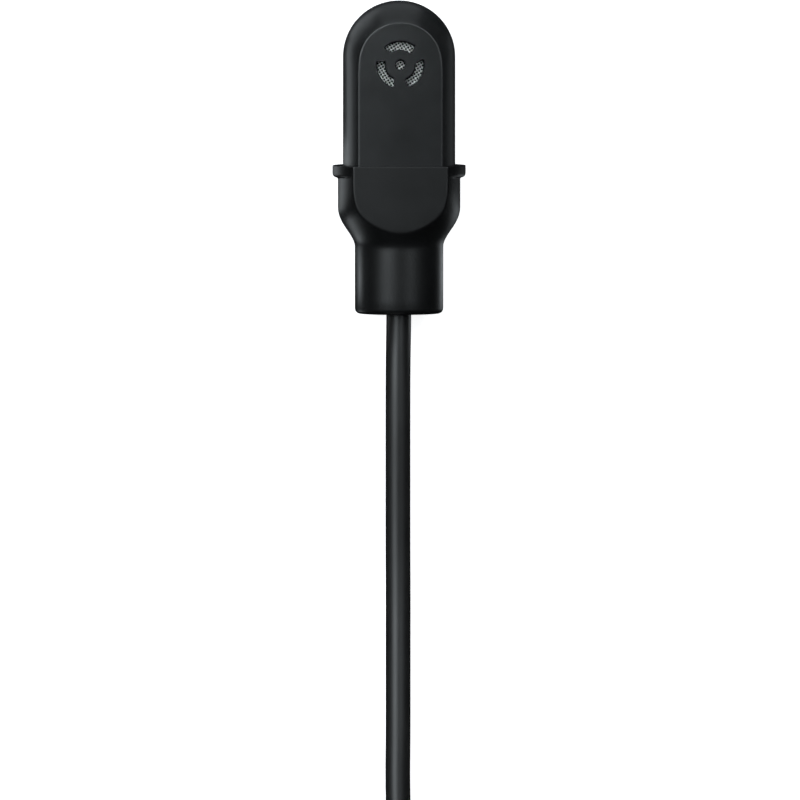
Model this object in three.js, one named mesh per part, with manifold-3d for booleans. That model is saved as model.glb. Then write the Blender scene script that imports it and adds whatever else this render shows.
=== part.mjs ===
// Lavalier microphone: an electret capsule in a flat-sided housing, a rubber strain boot, a thin cable
// folded into a tied hank, and a small locking connector with a sprung latch button.
// It lies on its flat back. Millimetres. +Y runs towards the head's tip, +Z points out of the sound ports.
// The origin is on the surface that it lies on, under the middle of the head.

import * as THREE from 'three';
import { mergeVertices } from 'three/addons/utils/BufferGeometryUtils.js';
import Module from 'manifold-3d';

const wasm = await Module();
wasm.setup();

// ---------------------------------------------------------------- driving dimensions

const ROUND_SEGMENTS = 40; // outer skins
const SMALL_SEGMENTS = 24; // parts inside
const WIRE_SIDES = 6;
const CORD_SIDES = 8;
const GAP = 0.03; // between neighbours that touch on the real object
const FAR = 60; // larger than the head in every direction

// Head. Its long axis is the head group's own Y axis.
const HEAD_HALF_LENGTH = 10.16;
const PAD_HALF_DEPTH = 2.52; // axis to the boot's flat pads, and the axis above the surface
const HOUSING_RADIUS = 3.64;
const HOUSING_OVAL_DEPTH = 3.72; // half the depth that it would have without its flat faces
const HOUSING_HALF_DEPTH = 2.45; // axis to the housing's flat faces
const HOUSING_WALL = 0.55;
const HOUSING_END_Y = -0.5; // where the housing meets the boot
const DOME_START_Y = HEAD_HALF_LENGTH - HOUSING_RADIUS;
const DOME_SLOPE_START_Y = 5.4; // the flat face starts to lose its thickness here
const DOME_SLOPE_POWER = 0.595;
const SPIGOT_RADIUS = 3.1;
const SPIGOT_HALF_DEPTH = 1.95;
const SPIGOT_WALL = 0.5;
const SPIGOT_END_Y = -4.0;

const PORT_Y = 6.07;
const PORT_OUTER_RADIUS = 1.55;
const PORT_INNER_RADIUS = 0.95;
const PORT_HALF_ANGLE = THREE.MathUtils.degToRad(44.5);
const PORT_COUNT = 3;
const CENTRE_HOLE_RADIUS = 0.34;

const BOOT_TOP_Y = HOUSING_END_Y - GAP;
const FLANGE_HALF_WIDTH = 4.32;
const FLANGE_HALF_DEPTH = 3.56;
const FLANGE_THICKNESS = 0.78;
const FLANGE_EDGE = 0.2;
const CUP_RADIUS = 3.97;
const NECK_HALF_WIDTH = 2.87;
const NECK_HALF_DEPTH = 2.15;
const NECK_EDGE = 0.35;
const SHOULDER_SIDE = { start: -3.21, end: -5.81, skew: 1.18 };
const SHOULDER_FRONT = { start: -1.5, end: -5.9, skew: 1.3 };

const SEAL_Y = -2.25;
const SEAL_WIDTH = 0.42;
const SEAL_THICKNESS = 0.28;

// Capsule. Its axis is the capsule group's own Z axis, with the ports in front of it.
const CAPSULE_RADIUS = 2.0;
const CAPSULE_FRONT_Z = 1.47;
const CAPSULE_BACK_Z = -0.03;
const CAPSULE_INNER_RADIUS = 1.85;

// Cable
const CORD_RADIUS = 0.8;
const CORD_REST_Z = 0.82; // its centreline when it lies on the surface
const CORD_BORE = 0.86;
const CORD_START_Y = -4.9; // inside the crimp ferrule
const CORD_STEP = 4.0;
const WIRE_RADIUS = 0.15;

// Hank: runs along Y with half-round folds, held by a tie at its waist
const HANK_NEAR_Y = -56.5; // centre of the folds nearer the head
const HANK_RUN = 29.5;
const HANK_RADIUS = 8.8;
const HANK_HEIGHT = 8.53;
const HANK_LIFT = 0.02;
const WAIST_PINCH = 3.4;
const TIE_WIDTH = 5.0;
const TIE_THICKNESS = 0.5;

// Connector. Its nose is at the connector group's own y = 0, and its cable end at the other end.
const CONNECTOR_NOSE_Y = -140;
const CONNECTOR_LENGTH = 36;
const BARREL_RADIUS = 5.55;
const NOSE_RADIUS = 4.7;
const NOSE_LENGTH = 8;
const NOSE_BORE = 4.2;
const BARREL_END_Y = 19;
const SHELL_END_Y = 22.6;
const INSERT_RADIUS = 4.1;
const INSERT_FRONT_Y = 0.6;
const INSERT_BACK_Y = 13.0;
const INSERT_FLAT_Z = 3.05; // cleared for the latch above it
const CONTACT_OFFSET = 1.556;
const CONTACT_COUNT = 4;
const LATCH_BOTTOM_Z = 4.05;
const LATCH_TOP_Z = 5.95;

// ---------------------------------------------------------------- materials

function finish(color, roughness, metalness) {
  return new THREE.MeshStandardMaterial({ color, roughness, metalness });
}

const blackHousing = finish(0x1d1e20, 0.38, 0.1);
const blackRubber = finish(0x161718, 0.55, 0.0);
const blackJacket = finish(0x1a1a1b, 0.6, 0.0);
const steelMesh = finish(0xc4c6c8, 0.3, 1.0);
const nickel = finish(0xb8b6ae, 0.3, 1.0);
const gold = finish(0xd0a650, 0.3, 1.0);
const darkCloth = finish(0x1c1d1e, 0.8, 0.0);
const clearFilm = finish(0xbfc4c8, 0.25, 0.6);
const insulator = finish(0xcfc8b4, 0.6, 0.0);
const boardGreen = finish(0x1c5a34, 0.5, 0.0);
const chipBlack = finish(0x101010, 0.5, 0.0);
const foam = finish(0x38393a, 0.95, 0.0);
const blackPlastic = finish(0x131314, 0.5, 0.0);
const redWire = finish(0x9c2420, 0.5, 0.0);
const blueWire = finish(0x284c90, 0.5, 0.0);
const copper = finish(0xb06a3c, 0.35, 1.0);
const darkMetal = finish(0x2a2b2d, 0.35, 0.9);
const fabricTie = finish(0x17181a, 0.9, 0.0);

// ---------------------------------------------------------------- solids and helpers

// A closed geometry as a manifold-3d solid, with its faces turned outwards.
function toSolid(geometry) {
  const bare = geometry.clone();
  bare.deleteAttribute('normal');
  bare.deleteAttribute('uv');
  const merged = mergeVertices(bare, 1e-5);
  const position = merged.attributes.position;
  const corners = [new THREE.Vector3(), new THREE.Vector3(), new THREE.Vector3()];
  const triangles = [];
  let volume = 0;
  for (let i = 0; i < merged.index.count; i += 3) {
    const [a, b, c] = [0, 1, 2].map((k) => merged.index.getX(i + k));
    if (a === b || b === c || c === a) continue;
    triangles.push([a, b, c]);
    [a, b, c].forEach((v, k) => corners[k].fromBufferAttribute(position, v));
    volume += corners[0].dot(corners[1].clone().cross(corners[2]));
  }
  const outward = volume > 0 ? triangles : triangles.map(([a, b, c]) => [a, c, b]);
  return new wasm.Manifold(
    new wasm.Mesh({
      numProp: 3,
      vertProperties: Float32Array.from(position.array),
      triVerts: Uint32Array.from(outward.flat()),
    }),
  );
}

function toGeometry(solid) {
  const mesh = solid.getMesh();
  const geometry = new THREE.BufferGeometry();
  geometry.setAttribute('position', new THREE.BufferAttribute(mesh.vertProperties, 3));
  geometry.setIndex(new THREE.BufferAttribute(mesh.triVerts, 1));
  geometry.computeVertexNormals();
  return geometry;
}

function part(parent, name, solid, material) {
  const mesh = new THREE.Mesh(toGeometry(solid), material);
  mesh.name = name;
  parent.add(mesh);
  return mesh;
}

// A closed skin through rings of equal count, from the lowest y to the highest.
function loft(rings) {
  const count = rings[0].length;
  const last = (rings.length - 1) * count;
  const index = [];
  for (let r = 0; r + 1 < rings.length; r++) {
    for (let i = 0; i < count; i++) {
      const a = r * count + i;
      const b = r * count + ((i + 1) % count);
      index.push(a, b, a + count, b, b + count, a + count);
    }
  }
  for (let i = 1; i + 1 < count; i++) {
    index.push(0, i + 1, i, last, last + i, last + i + 1);
  }
  const geometry = new THREE.BufferGeometry();
  const values = rings.flat().flatMap((p) => [p.x, p.y, p.z]);
  geometry.setAttribute('position', new THREE.Float32BufferAttribute(values, 3));
  geometry.setIndex(index);
  return toSolid(geometry);
}

// An ellipse about the Y axis, at height y.
function ovalRing(y, halfWidth, halfDepth, segments = ROUND_SEGMENTS) {
  return Array.from({ length: segments }, (_, i) => {
    const angle = ((i + 0.5) * 2 * Math.PI) / segments;
    return new THREE.Vector3(halfWidth * Math.cos(angle), y, -halfDepth * Math.sin(angle));
  });
}

// A straight round bar about the Y axis with two flats, from low to high.
function flattedBar(low, high, radius, halfDepth) {
  return loft([ovalRing(low, radius, radius), ovalRing(high, radius, radius)]).intersect(slab(halfDepth));
}

function box(low, high) {
  const size = high.map((value, i) => value - low[i]);
  const middle = high.map((value, i) => (value + low[i]) / 2);
  return toSolid(new THREE.BoxGeometry(...size).translate(...middle));
}

function slab(halfDepth) {
  return box([-FAR, -FAR, -halfDepth], [FAR, FAR, halfDepth]);
}

function lathe(profile, segments) {
  return new THREE.LatheGeometry(
    profile.map(([radius, height]) => new THREE.Vector2(radius, height)),
    segments,
  );
}

// A profile of [radius, y] turned about the Y axis. One that doesn't touch the axis is closed on itself.
function turnedAlongY(profile, segments = SMALL_SEGMENTS) {
  return toSolid(lathe(closed(profile), segments));
}

function turnedAlongZ(profile, segments = SMALL_SEGMENTS) {
  return toSolid(lathe(closed(profile), segments).rotateX(Math.PI / 2));
}

function closed(profile) {
  const onAxis = profile[0][0] === 0 && profile.at(-1)[0] === 0;
  return onAxis ? profile : [...profile, profile[0]];
}

function washer(outer, inner, low, high) {
  const section = [[inner, low], [outer, low], [outer, high], [inner, high]];
  return turnedAlongZ(section);
}

function disc(radius, low, high, segments = SMALL_SEGMENTS) {
  return turnedAlongZ([[0, low], [radius, low], [radius, high], [0, high]], segments);
}

function rod(radius, low, high, segments = SMALL_SEGMENTS) {
  return turnedAlongY([[0, low], [radius, low], [radius, high], [0, high]], segments);
}

// A round tube of solid section along a smooth curve through the points.
function cord(points, radius, sides, step) {
  const curve = new THREE.CatmullRomCurve3(points.map((p) => new THREE.Vector3(...p)));
  const section = new THREE.Shape(
    Array.from({ length: sides }, (_, i) => {
      const angle = ((i + 0.5) * 2 * Math.PI) / sides;
      return new THREE.Vector2(radius * Math.cos(angle), radius * Math.sin(angle));
    }),
  );
  const steps = Math.max(2, Math.round(curve.getLength() / step));
  return toSolid(new THREE.ExtrudeGeometry(section, { steps, extrudePath: curve, bevelEnabled: false }));
}

// An outline in Y and Z, as thick as width across X.
function acrossX(outline, width) {
  const shape = new THREE.Shape(outline.map(([y, z]) => new THREE.Vector2(y, z)));
  const geometry = new THREE.ExtrudeGeometry(shape, { depth: width, bevelEnabled: false, curveSegments: 6 });
  const toWorld = new THREE.Matrix4().makeBasis(
    new THREE.Vector3(0, 1, 0),
    new THREE.Vector3(0, 0, 1),
    new THREE.Vector3(1, 0, 0),
  );
  return toSolid(geometry.translate(0, 0, -width / 2).applyMatrix4(toWorld));
}

function joined(solids) {
  return solids.reduce((whole, solid) => whole.add(solid));
}

// 0 before start, 1 after end, with level ends. A skew above 1 keeps it near 0 for longer.
function easedDrop(y, { start, end, skew }) {
  const t = THREE.MathUtils.clamp((start - y) / (start - end), 0, 1) ** skew;
  return t * t * (3 - 2 * t);
}

// ---------------------------------------------------------------- head shell

function housingHalfWidth(y) {
  const t = Math.max(0, y - DOME_START_Y) / HOUSING_RADIUS;
  return HOUSING_RADIUS * Math.sqrt(Math.max(0, 1 - t * t));
}

function housingHalfDepth(y) {
  const t = Math.max(0, y - DOME_SLOPE_START_Y) / (HEAD_HALF_LENGTH - DOME_SLOPE_START_Y);
  return HOUSING_OVAL_DEPTH * Math.max(0, 1 - t * t) ** DOME_SLOPE_POWER;
}

// Heights of rings from the start of the dome to just under its tip.
function domeHeights(tip) {
  const angles = [15, 30, 45, 57, 68, 77, 84];
  const rise = tip - DOME_START_Y;
  return angles.map((angle) => DOME_START_Y + rise * Math.sin(THREE.MathUtils.degToRad(angle)));
}

function housingSkin() {
  const tipSize = 0.2;
  const heights = [HOUSING_END_Y, DOME_SLOPE_START_Y, DOME_START_Y, ...domeHeights(HEAD_HALF_LENGTH)];
  const rings = heights.map((y) => ovalRing(y, housingHalfWidth(y), housingHalfDepth(y)));
  rings.push(ovalRing(HEAD_HALF_LENGTH, tipSize, tipSize));
  return loft(rings).intersect(slab(HOUSING_HALF_DEPTH));
}

function housingCavity() {
  const tip = HEAD_HALF_LENGTH - HOUSING_WALL - 0.35;
  const heights = [0, DOME_SLOPE_START_Y - HOUSING_WALL, ...domeHeights(tip)];
  const rings = heights.map((y) =>
    ovalRing(
      y,
      housingHalfWidth(y + HOUSING_WALL) - HOUSING_WALL,
      housingHalfDepth(y + HOUSING_WALL) - HOUSING_WALL,
      SMALL_SEGMENTS,
    ),
  );
  return loft(rings).intersect(slab(HOUSING_HALF_DEPTH - HOUSING_WALL));
}

function portSlot(turn) {
  const shape = new THREE.Shape();
  shape.absarc(0, 0, PORT_OUTER_RADIUS, -PORT_HALF_ANGLE, PORT_HALF_ANGLE, false);
  shape.absarc(0, 0, PORT_INNER_RADIUS, PORT_HALF_ANGLE, -PORT_HALF_ANGLE, true);
  const geometry = new THREE.ExtrudeGeometry(shape, { depth: 1.5, bevelEnabled: false, curveSegments: 8 });
  return toSolid(geometry.rotateZ(turn).translate(0, PORT_Y, HOUSING_HALF_DEPTH - 1));
}

function soundPorts() {
  const slots = Array.from({ length: PORT_COUNT }, (_, i) =>
    portSlot(Math.PI / 2 + (i * 2 * Math.PI) / PORT_COUNT),
  );
  const centre = disc(CENTRE_HOLE_RADIUS, HOUSING_HALF_DEPTH - 1, HOUSING_HALF_DEPTH + 0.5, 16);
  return joined([...slots, centre.translate([0, PORT_Y, 0])]);
}

function headShell() {
  const spigotBore = flattedBar(
    SPIGOT_END_Y - 1,
    0.5,
    SPIGOT_RADIUS - SPIGOT_WALL,
    SPIGOT_HALF_DEPTH - SPIGOT_WALL,
  );
  const spigot = flattedBar(SPIGOT_END_Y, 0, SPIGOT_RADIUS, SPIGOT_HALF_DEPTH);
  const sealCore = flattedBar(-FAR, FAR, SPIGOT_RADIUS - SEAL_THICKNESS, SPIGOT_HALF_DEPTH - SEAL_THICKNESS);
  const sealSpace = box([-FAR, SEAL_Y - SEAL_WIDTH / 2 - GAP, -FAR], [FAR, SEAL_Y + SEAL_WIDTH / 2 + GAP, FAR]);
  return joined([housingSkin(), spigot])
    .subtract(sealSpace.subtract(sealCore))
    .subtract(housingCavity())
    .subtract(spigotBore)
    .subtract(soundPorts());
}

function shellSeal() {
  const low = SEAL_Y - SEAL_WIDTH / 2;
  const high = SEAL_Y + SEAL_WIDTH / 2;
  const inner = GAP - SEAL_THICKNESS;
  const hole = flattedBar(low - 1, high + 1, SPIGOT_RADIUS + inner, SPIGOT_HALF_DEPTH + inner);
  return flattedBar(low, high, SPIGOT_RADIUS + GAP, SPIGOT_HALF_DEPTH + GAP).subtract(hole);
}

// ---------------------------------------------------------------- strain boot

function bootHalfWidth(y) {
  return CUP_RADIUS - (CUP_RADIUS - NECK_HALF_WIDTH) * easedDrop(y, SHOULDER_SIDE);
}

function bootHalfDepth(y) {
  return CUP_RADIUS - (CUP_RADIUS - NECK_HALF_DEPTH) * easedDrop(y, SHOULDER_FRONT);
}

function bootSkin() {
  const end = -HEAD_HALF_LENGTH;
  const neckEnd = [
    ovalRing(end, NECK_HALF_WIDTH - NECK_EDGE, NECK_HALF_DEPTH - NECK_EDGE),
    ovalRing(end + 0.3 * NECK_EDGE, NECK_HALF_WIDTH - 0.3 * NECK_EDGE, NECK_HALF_DEPTH - 0.3 * NECK_EDGE),
  ];
  const heights = [end + NECK_EDGE, -5.9, -5.5, -5.1, -4.7, -4.2, -3.7, -3.2, -2.6, -2.0, -1.5, BOOT_TOP_Y];
  const rings = heights.map((y) => ovalRing(y, bootHalfWidth(y), bootHalfDepth(y)));
  return loft([...neckEnd, ...rings]);
}

function flange() {
  const bottom = BOOT_TOP_Y - FLANGE_THICKNESS;
  return loft([
    ovalRing(bottom, FLANGE_HALF_WIDTH - FLANGE_EDGE, FLANGE_HALF_DEPTH - FLANGE_EDGE),
    ovalRing(bottom + FLANGE_EDGE, FLANGE_HALF_WIDTH, FLANGE_HALF_DEPTH),
    ovalRing(BOOT_TOP_Y, FLANGE_HALF_WIDTH, FLANGE_HALF_DEPTH),
  ]);
}

function strainBoot() {
  const clearance = 2 * GAP;
  const socket = flattedBar(SPIGOT_END_Y - GAP, 1, SPIGOT_RADIUS + clearance, SPIGOT_HALF_DEPTH + clearance);
  const cableWay = turnedAlongY([
    [0, -11], [CORD_BORE, -11], [CORD_BORE, -7.35], [1.34, -7.35],
    [1.34, -5.2], [1.75, -5.2], [1.75, -3.9], [0, -3.9],
  ]);
  return joined([bootSkin(), flange()])
    .intersect(slab(PAD_HALF_DEPTH))
    .subtract(socket)
    .subtract(cableWay);
}

function crimpFerrule() {
  return turnedAlongY([
    [CORD_BORE, -7.3], [1.3, -7.3], [1.3, -6.6], [1.18, -6.4], [1.18, -5.9], [1.3, -5.7],
    [1.3, -5.15], [1.7, -5.15], [1.7, -4.85], [CORD_BORE, -4.85],
  ]);
}

// ---------------------------------------------------------------- inside the head

function capsuleCarrier() {
  const base = box([-2.2, 3.4, -1.0], [2.2, 7.5, -0.12]);
  const wall = washer(2.3, 2.06, -0.5, 1.2).translate([0, PORT_Y, 0]);
  const room = box([-FAR, 3, -1.0], [FAR, 7.5, 2]);
  const wireNotch = box([-0.9, 3, -2], [0.9, 5.6, 0.5]);
  return joined([base, wall]).intersect(room).subtract(wireNotch);
}

function wireGrommet(lanes) {
  const holes = lanes.map((x) => rod(0.2, -5, -1, 12).translate([x, 0, 0]));
  return flattedBar(-3.6, -2.8, 2.55, 1.4).subtract(joined(holes));
}

function headWire(x) {
  const route = [
    [0.5 * x, -4.75, 0], [x, -3.9, 0], [x, -2.6, 0], [x, 0, -0.35],
    [x, 2.6, -0.55], [x, 4.1, -0.5], [x, 4.75, -0.3], [x, 4.92, 0.04],
  ];
  return cord(route, WIRE_RADIUS, WIRE_SIDES, 0.6);
}

function buildCapsule(head) {
  const capsule = new THREE.Group();
  capsule.position.set(0, PORT_Y, 0);
  head.add(capsule);
  const r = CAPSULE_INNER_RADIUS;
  part(capsule, 'grille_mesh', disc(CAPSULE_RADIUS, 1.74, 1.87), steelMesh);
  part(capsule, 'windscreen_membrane', disc(CAPSULE_RADIUS, 1.67, 1.71), darkCloth);
  part(capsule, 'membrane_gasket', washer(CAPSULE_RADIUS, 1.65, 1.5, 1.64), foam);
  part(capsule, 'capsule_can', capsuleCan(), nickel);
  part(capsule, 'diaphragm_ring', washer(r, 1.55, 1.2, 1.29), nickel);
  part(capsule, 'diaphragm', disc(r, 1.15, 1.175), clearFilm);
  part(capsule, 'spacer_washer', washer(r, 1.5, 1.085, 1.125), insulator);
  part(capsule, 'backplate', backplate(), gold);
  part(capsule, 'backplate_holder', backplateHolder(r), insulator);
  part(capsule, 'contact_ring', washer(1.1, 0.95, 0.31, 0.84), nickel);
  part(capsule, 'capsule_board', disc(r, 0.08, 0.28), boardGreen);
  part(capsule, 'fet_chip', box([-0.4, -0.3, 0.31], [0.4, 0.3, 0.66]), chipBlack);
}

function capsuleCan() {
  const inner = CAPSULE_INNER_RADIUS + GAP;
  const front = CAPSULE_FRONT_Z;
  const back = CAPSULE_BACK_Z;
  return turnedAlongZ([
    [0.5, front - 0.15], [0.5, front], [CAPSULE_RADIUS, front], [CAPSULE_RADIUS, back],
    [1.72, back], [1.72, back + 0.08], [inner, back + 0.08], [inner, front - 0.15],
  ]);
}

function backplate() {
  const holes = Array.from({ length: 6 }, (_, i) => {
    const angle = (i * Math.PI) / 3;
    return disc(0.14, 0, 2, 10).translate([0.85 * Math.cos(angle), 0.85 * Math.sin(angle), 0]);
  });
  return disc(1.47, 0.87, 1.05).subtract(joined(holes));
}

function backplateHolder(radius) {
  return turnedAlongZ([
    [1.2, 0.31], [radius, 0.31], [radius, 1.055], [1.5, 1.055], [1.5, 0.84], [1.2, 0.84],
  ]);
}

function buildHead(object) {
  const head = new THREE.Group();
  head.position.set(0, 0, PAD_HALF_DEPTH);
  object.add(head);
  part(head, 'head_shell', headShell(), blackHousing);
  part(head, 'shell_seal', shellSeal(), blackRubber);
  part(head, 'strain_boot', strainBoot(), blackRubber);
  part(head, 'crimp_ferrule', crimpFerrule(), nickel);
  part(head, 'capsule_carrier', capsuleCarrier(), blackPlastic);
  part(head, 'backing_pad', box([-1.5, 4.2, -1.85], [1.5, 7.3, -1.04]), foam);
  const wires = { signal_wire: [-0.6, redWire], shield_wire: [0, copper], bias_wire: [0.6, blueWire] };
  part(head, 'wire_grommet', wireGrommet(Object.values(wires).map(([x]) => x)), insulator);
  for (const [name, [x, material]] of Object.entries(wires)) {
    part(head, name, headWire(x), material);
  }
  buildCapsule(head);
}

// ---------------------------------------------------------------- cable

const RUN_ROUTE = [
  [0, CORD_START_Y, PAD_HALF_DEPTH], [0, -8, PAD_HALF_DEPTH], [0, -11, PAD_HALF_DEPTH],
  [0, -13.5, 2.46], [0, -17, 2.15], [0, -21, 1.6], [0, -25, 1.1], [0, -28.5, 0.86],
  [0, -32, CORD_REST_Z], [0, -37, CORD_REST_Z], [0, -42, CORD_REST_Z], [0.1, -44, CORD_REST_Z],
  [0.8, -46.4, CORD_REST_Z],
];

const TAIL_ROUTE = [
  [1.2, -95.9, 7.72], [0.35, -97.7, 7.35], [0, -100, 6.5], [0, -102.2, 5.75],
  [0, -104.5, BARREL_RADIUS], [0, -110, BARREL_RADIUS], [0, -120.3, BARREL_RADIUS],
];

// Half the hank's width at a distance along Y from its middle, inside its straight runs.
function hankHalfWidth(distance) {
  const pinch = 0.5 * (1 + Math.cos((2 * Math.PI * distance) / HANK_RUN));
  return HANK_RADIUS - WAIST_PINCH * pinch;
}

function hankOutline() {
  const middle = HANK_NEAR_Y - HANK_RUN / 2;
  const right = [];
  for (let i = 0; i <= 12; i++) {
    const distance = HANK_RUN * (0.5 - i / 12);
    right.push(new THREE.Vector2(hankHalfWidth(distance), middle + distance));
  }
  const fold = [];
  for (let i = 1; i < 10; i++) {
    const angle = (-i * Math.PI) / 10;
    fold.push(new THREE.Vector2(HANK_RADIUS * Math.cos(angle), HANK_RADIUS * Math.sin(angle)));
  }
  const far = fold.map((p) => new THREE.Vector2(p.x, p.y + HANK_NEAR_Y - HANK_RUN));
  const near = fold.map((p) => new THREE.Vector2(-p.x, -p.y + HANK_NEAR_Y));
  const left = right.map((p) => new THREE.Vector2(-p.x, 2 * middle - p.y));
  return new THREE.Shape([...right, ...far, ...left, ...near]);
}

function cableHank() {
  const geometry = new THREE.ExtrudeGeometry(hankOutline(), { depth: HANK_HEIGHT, bevelEnabled: false });
  const bundle = toSolid(geometry.translate(0, 0, HANK_LIFT));
  const middle = HANK_NEAR_Y - HANK_RUN / 2;
  const halfWidth = HANK_RADIUS - WAIST_PINCH;
  const halfTie = TIE_WIDTH / 2;
  const under = TIE_THICKNESS + GAP;
  const tieSpace = box([-FAR, middle - halfTie - GAP, -1], [FAR, middle + halfTie + GAP, FAR]);
  const waist = box(
    [-halfWidth, middle - halfTie - 2 * GAP, under],
    [halfWidth, middle + halfTie + 2 * GAP, under + HANK_HEIGHT],
  );
  return bundle.subtract(tieSpace).add(waist);
}

function roundedRectangle(halfWidth, low, high, corner) {
  const shape = new THREE.Shape();
  shape.moveTo(halfWidth, low + corner);
  shape.absarc(halfWidth - corner, high - corner, corner, 0, Math.PI / 2, false);
  shape.absarc(corner - halfWidth, high - corner, corner, Math.PI / 2, Math.PI, false);
  shape.absarc(corner - halfWidth, low + corner, corner, Math.PI, 1.5 * Math.PI, false);
  shape.absarc(halfWidth - corner, low + corner, corner, 1.5 * Math.PI, 2 * Math.PI, false);
  return shape;
}

function cableTie() {
  const middle = HANK_NEAR_Y - HANK_RUN / 2;
  const halfWidth = HANK_RADIUS - WAIST_PINCH + GAP;
  const top = TIE_THICKNESS + HANK_HEIGHT + 2 * GAP;
  const band = roundedRectangle(halfWidth + TIE_THICKNESS, 0, top + TIE_THICKNESS, 0.8);
  band.holes.push(roundedRectangle(halfWidth, TIE_THICKNESS, top, 0.001));
  const geometry = new THREE.ExtrudeGeometry(band, { depth: TIE_WIDTH, bevelEnabled: false, curveSegments: 4 });
  return toSolid(geometry.rotateX(Math.PI / 2).translate(0, middle + TIE_WIDTH / 2, 0));
}

function buildCable(object) {
  part(object, 'cable_run', cord(RUN_ROUTE, CORD_RADIUS, CORD_SIDES, CORD_STEP), blackJacket);
  part(object, 'cable_hank', cableHank(), blackJacket);
  part(object, 'cable_tie', cableTie(), fabricTie);
  part(object, 'cable_tail', cord(TAIL_ROUTE, CORD_RADIUS, CORD_SIDES, CORD_STEP), blackJacket);
}

// ---------------------------------------------------------------- connector

const LATCH_WINDOW = { halfWidth: 1.75, low: 8.9, high: 15.1 };
const LATCH_SLOT = { halfWidth: 0.95, low: 2.6, high: 9.1 };
const SCREW_Y = 11.5;

function connectorShell() {
  const skin = turnedAlongY(
    [
      [NOSE_BORE, 0], [4.5, 0], [NOSE_RADIUS, 0.2], [NOSE_RADIUS, NOSE_LENGTH], [5.4, NOSE_LENGTH],
      [BARREL_RADIUS, NOSE_LENGTH + 0.15], [BARREL_RADIUS, BARREL_END_Y], [4.95, BARREL_END_Y],
      [4.95, SHELL_END_Y], [4.45, SHELL_END_Y], [4.45, 13.2], [NOSE_BORE, 13.2],
    ],
    ROUND_SEGMENTS,
  );
  const openings = [LATCH_WINDOW, LATCH_SLOT].map(({ halfWidth, low, high }) =>
    box([-halfWidth, low, 3.5], [halfWidth, high, 7]),
  );
  const screwHole = disc(0.8, 3.5, 7, 16).rotate([0, 90, 0]).translate([0, SCREW_Y, 0]);
  return skin.subtract(joined([...openings, screwHole]));
}

function contactPlaces() {
  return Array.from({ length: CONTACT_COUNT }, (_, i) => {
    const angle = Math.PI / 4 + (i * Math.PI) / 2;
    const reach = CONTACT_OFFSET * Math.SQRT2;
    return [reach * Math.cos(angle), 0, reach * Math.sin(angle)];
  });
}

function connectorInsert() {
  const holes = contactPlaces().map((place) => rod(0.8, -1, 20, 16).translate(place));
  const latchRoom = box([-FAR, -1, INSERT_FLAT_Z], [FAR, 20, FAR]);
  return rod(INSERT_RADIUS, INSERT_FRONT_Y, INSERT_BACK_Y, ROUND_SEGMENTS)
    .subtract(joined(holes))
    .subtract(latchRoom);
}

function contact(place) {
  const socket = [[0, 6.7], [0.5, 6.7], [0.5, 0.7], [0.75, 0.7], [0.75, 11.5], [0, 11.5]];
  return turnedAlongY(socket, 16).translate(place);
}

function latchButton() {
  const bottom = LATCH_BOTTOM_Z;
  const thickness = 0.45;
  const hookTop = 5.15;
  const arm = acrossX(
    [
      [2.9, bottom], [9.5, bottom], [9.5, bottom + thickness], [4.2, bottom + thickness],
      [4.2, hookTop], [3.9, hookTop], [2.9, bottom + thickness],
    ],
    1.6,
  );
  const button = acrossX(
    [
      [9.05, bottom], [14.95, bottom], [14.95, LATCH_TOP_Z - 0.5], [14.6, LATCH_TOP_Z - 0.1],
      [14.1, LATCH_TOP_Z], [9.9, LATCH_TOP_Z], [9.4, LATCH_TOP_Z - 0.1], [9.05, LATCH_TOP_Z - 0.5],
    ],
    3.2,
  );
  const ribs = [10.6, 11.6, 12.6, 13.6].map((y) => box([-FAR, y - 0.15, LATCH_TOP_Z - 0.12], [FAR, y + 0.15, FAR]));
  return joined([arm, button]).subtract(joined(ribs));
}

// An arched leaf between the insert's flat and the button.
function latchSpring() {
  const low = INSERT_FLAT_Z + GAP;
  const rise = LATCH_BOTTOM_Z - GAP - low;
  const thickness = 0.12;
  const span = 4.4;
  const middle = 12;
  const steps = 10;
  const above = [];
  const below = [];
  for (let i = 0; i <= steps; i++) {
    const u = (2 * i) / steps - 1;
    const arch = (rise - thickness) * (1 - u * u);
    above.push([middle + (u * span) / 2, low + arch + thickness]);
    below.unshift([middle + (u * span) / 2, low + arch]);
  }
  return acrossX([...above, ...below], 2.0);
}

function insertScrew() {
  const socket = disc(0.35, 4.9, 6, 6);
  return disc(0.75, 4.14, 5.4, 16).subtract(socket).rotate([0, 90, 0]).translate([0, SCREW_Y, 0]);
}

function insulatingSleeve() {
  return turnedAlongY([[4.1, 15.3], [4.4, 15.3], [4.4, 22.3], [4.1, 22.3]]);
}

function cableClamp() {
  const ring = turnedAlongY([[CORD_BORE, 19.5], [3.6, 19.5], [4.0, 20], [4.0, 22.4], [CORD_BORE, 22.4]]);
  return ring.subtract(box([-0.25, 19, 0], [0.25, 23, 5]));
}

function rearNut() {
  const skin = turnedAlongY(
    [[5.0, 19.1], [5.5, 19.1], [5.5, 24.3], [5.0, 24.8], [3.1, 24.8], [3.1, 23.7], [5.0, 23.7]],
    ROUND_SEGMENTS,
  );
  const grooves = Array.from({ length: 20 }, (_, i) =>
    box([5.38, 20, -0.12], [6, 23.8, 0.12]).rotate([0, (i * 360) / 20, 0]),
  );
  return skin.subtract(joined(grooves));
}

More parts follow.
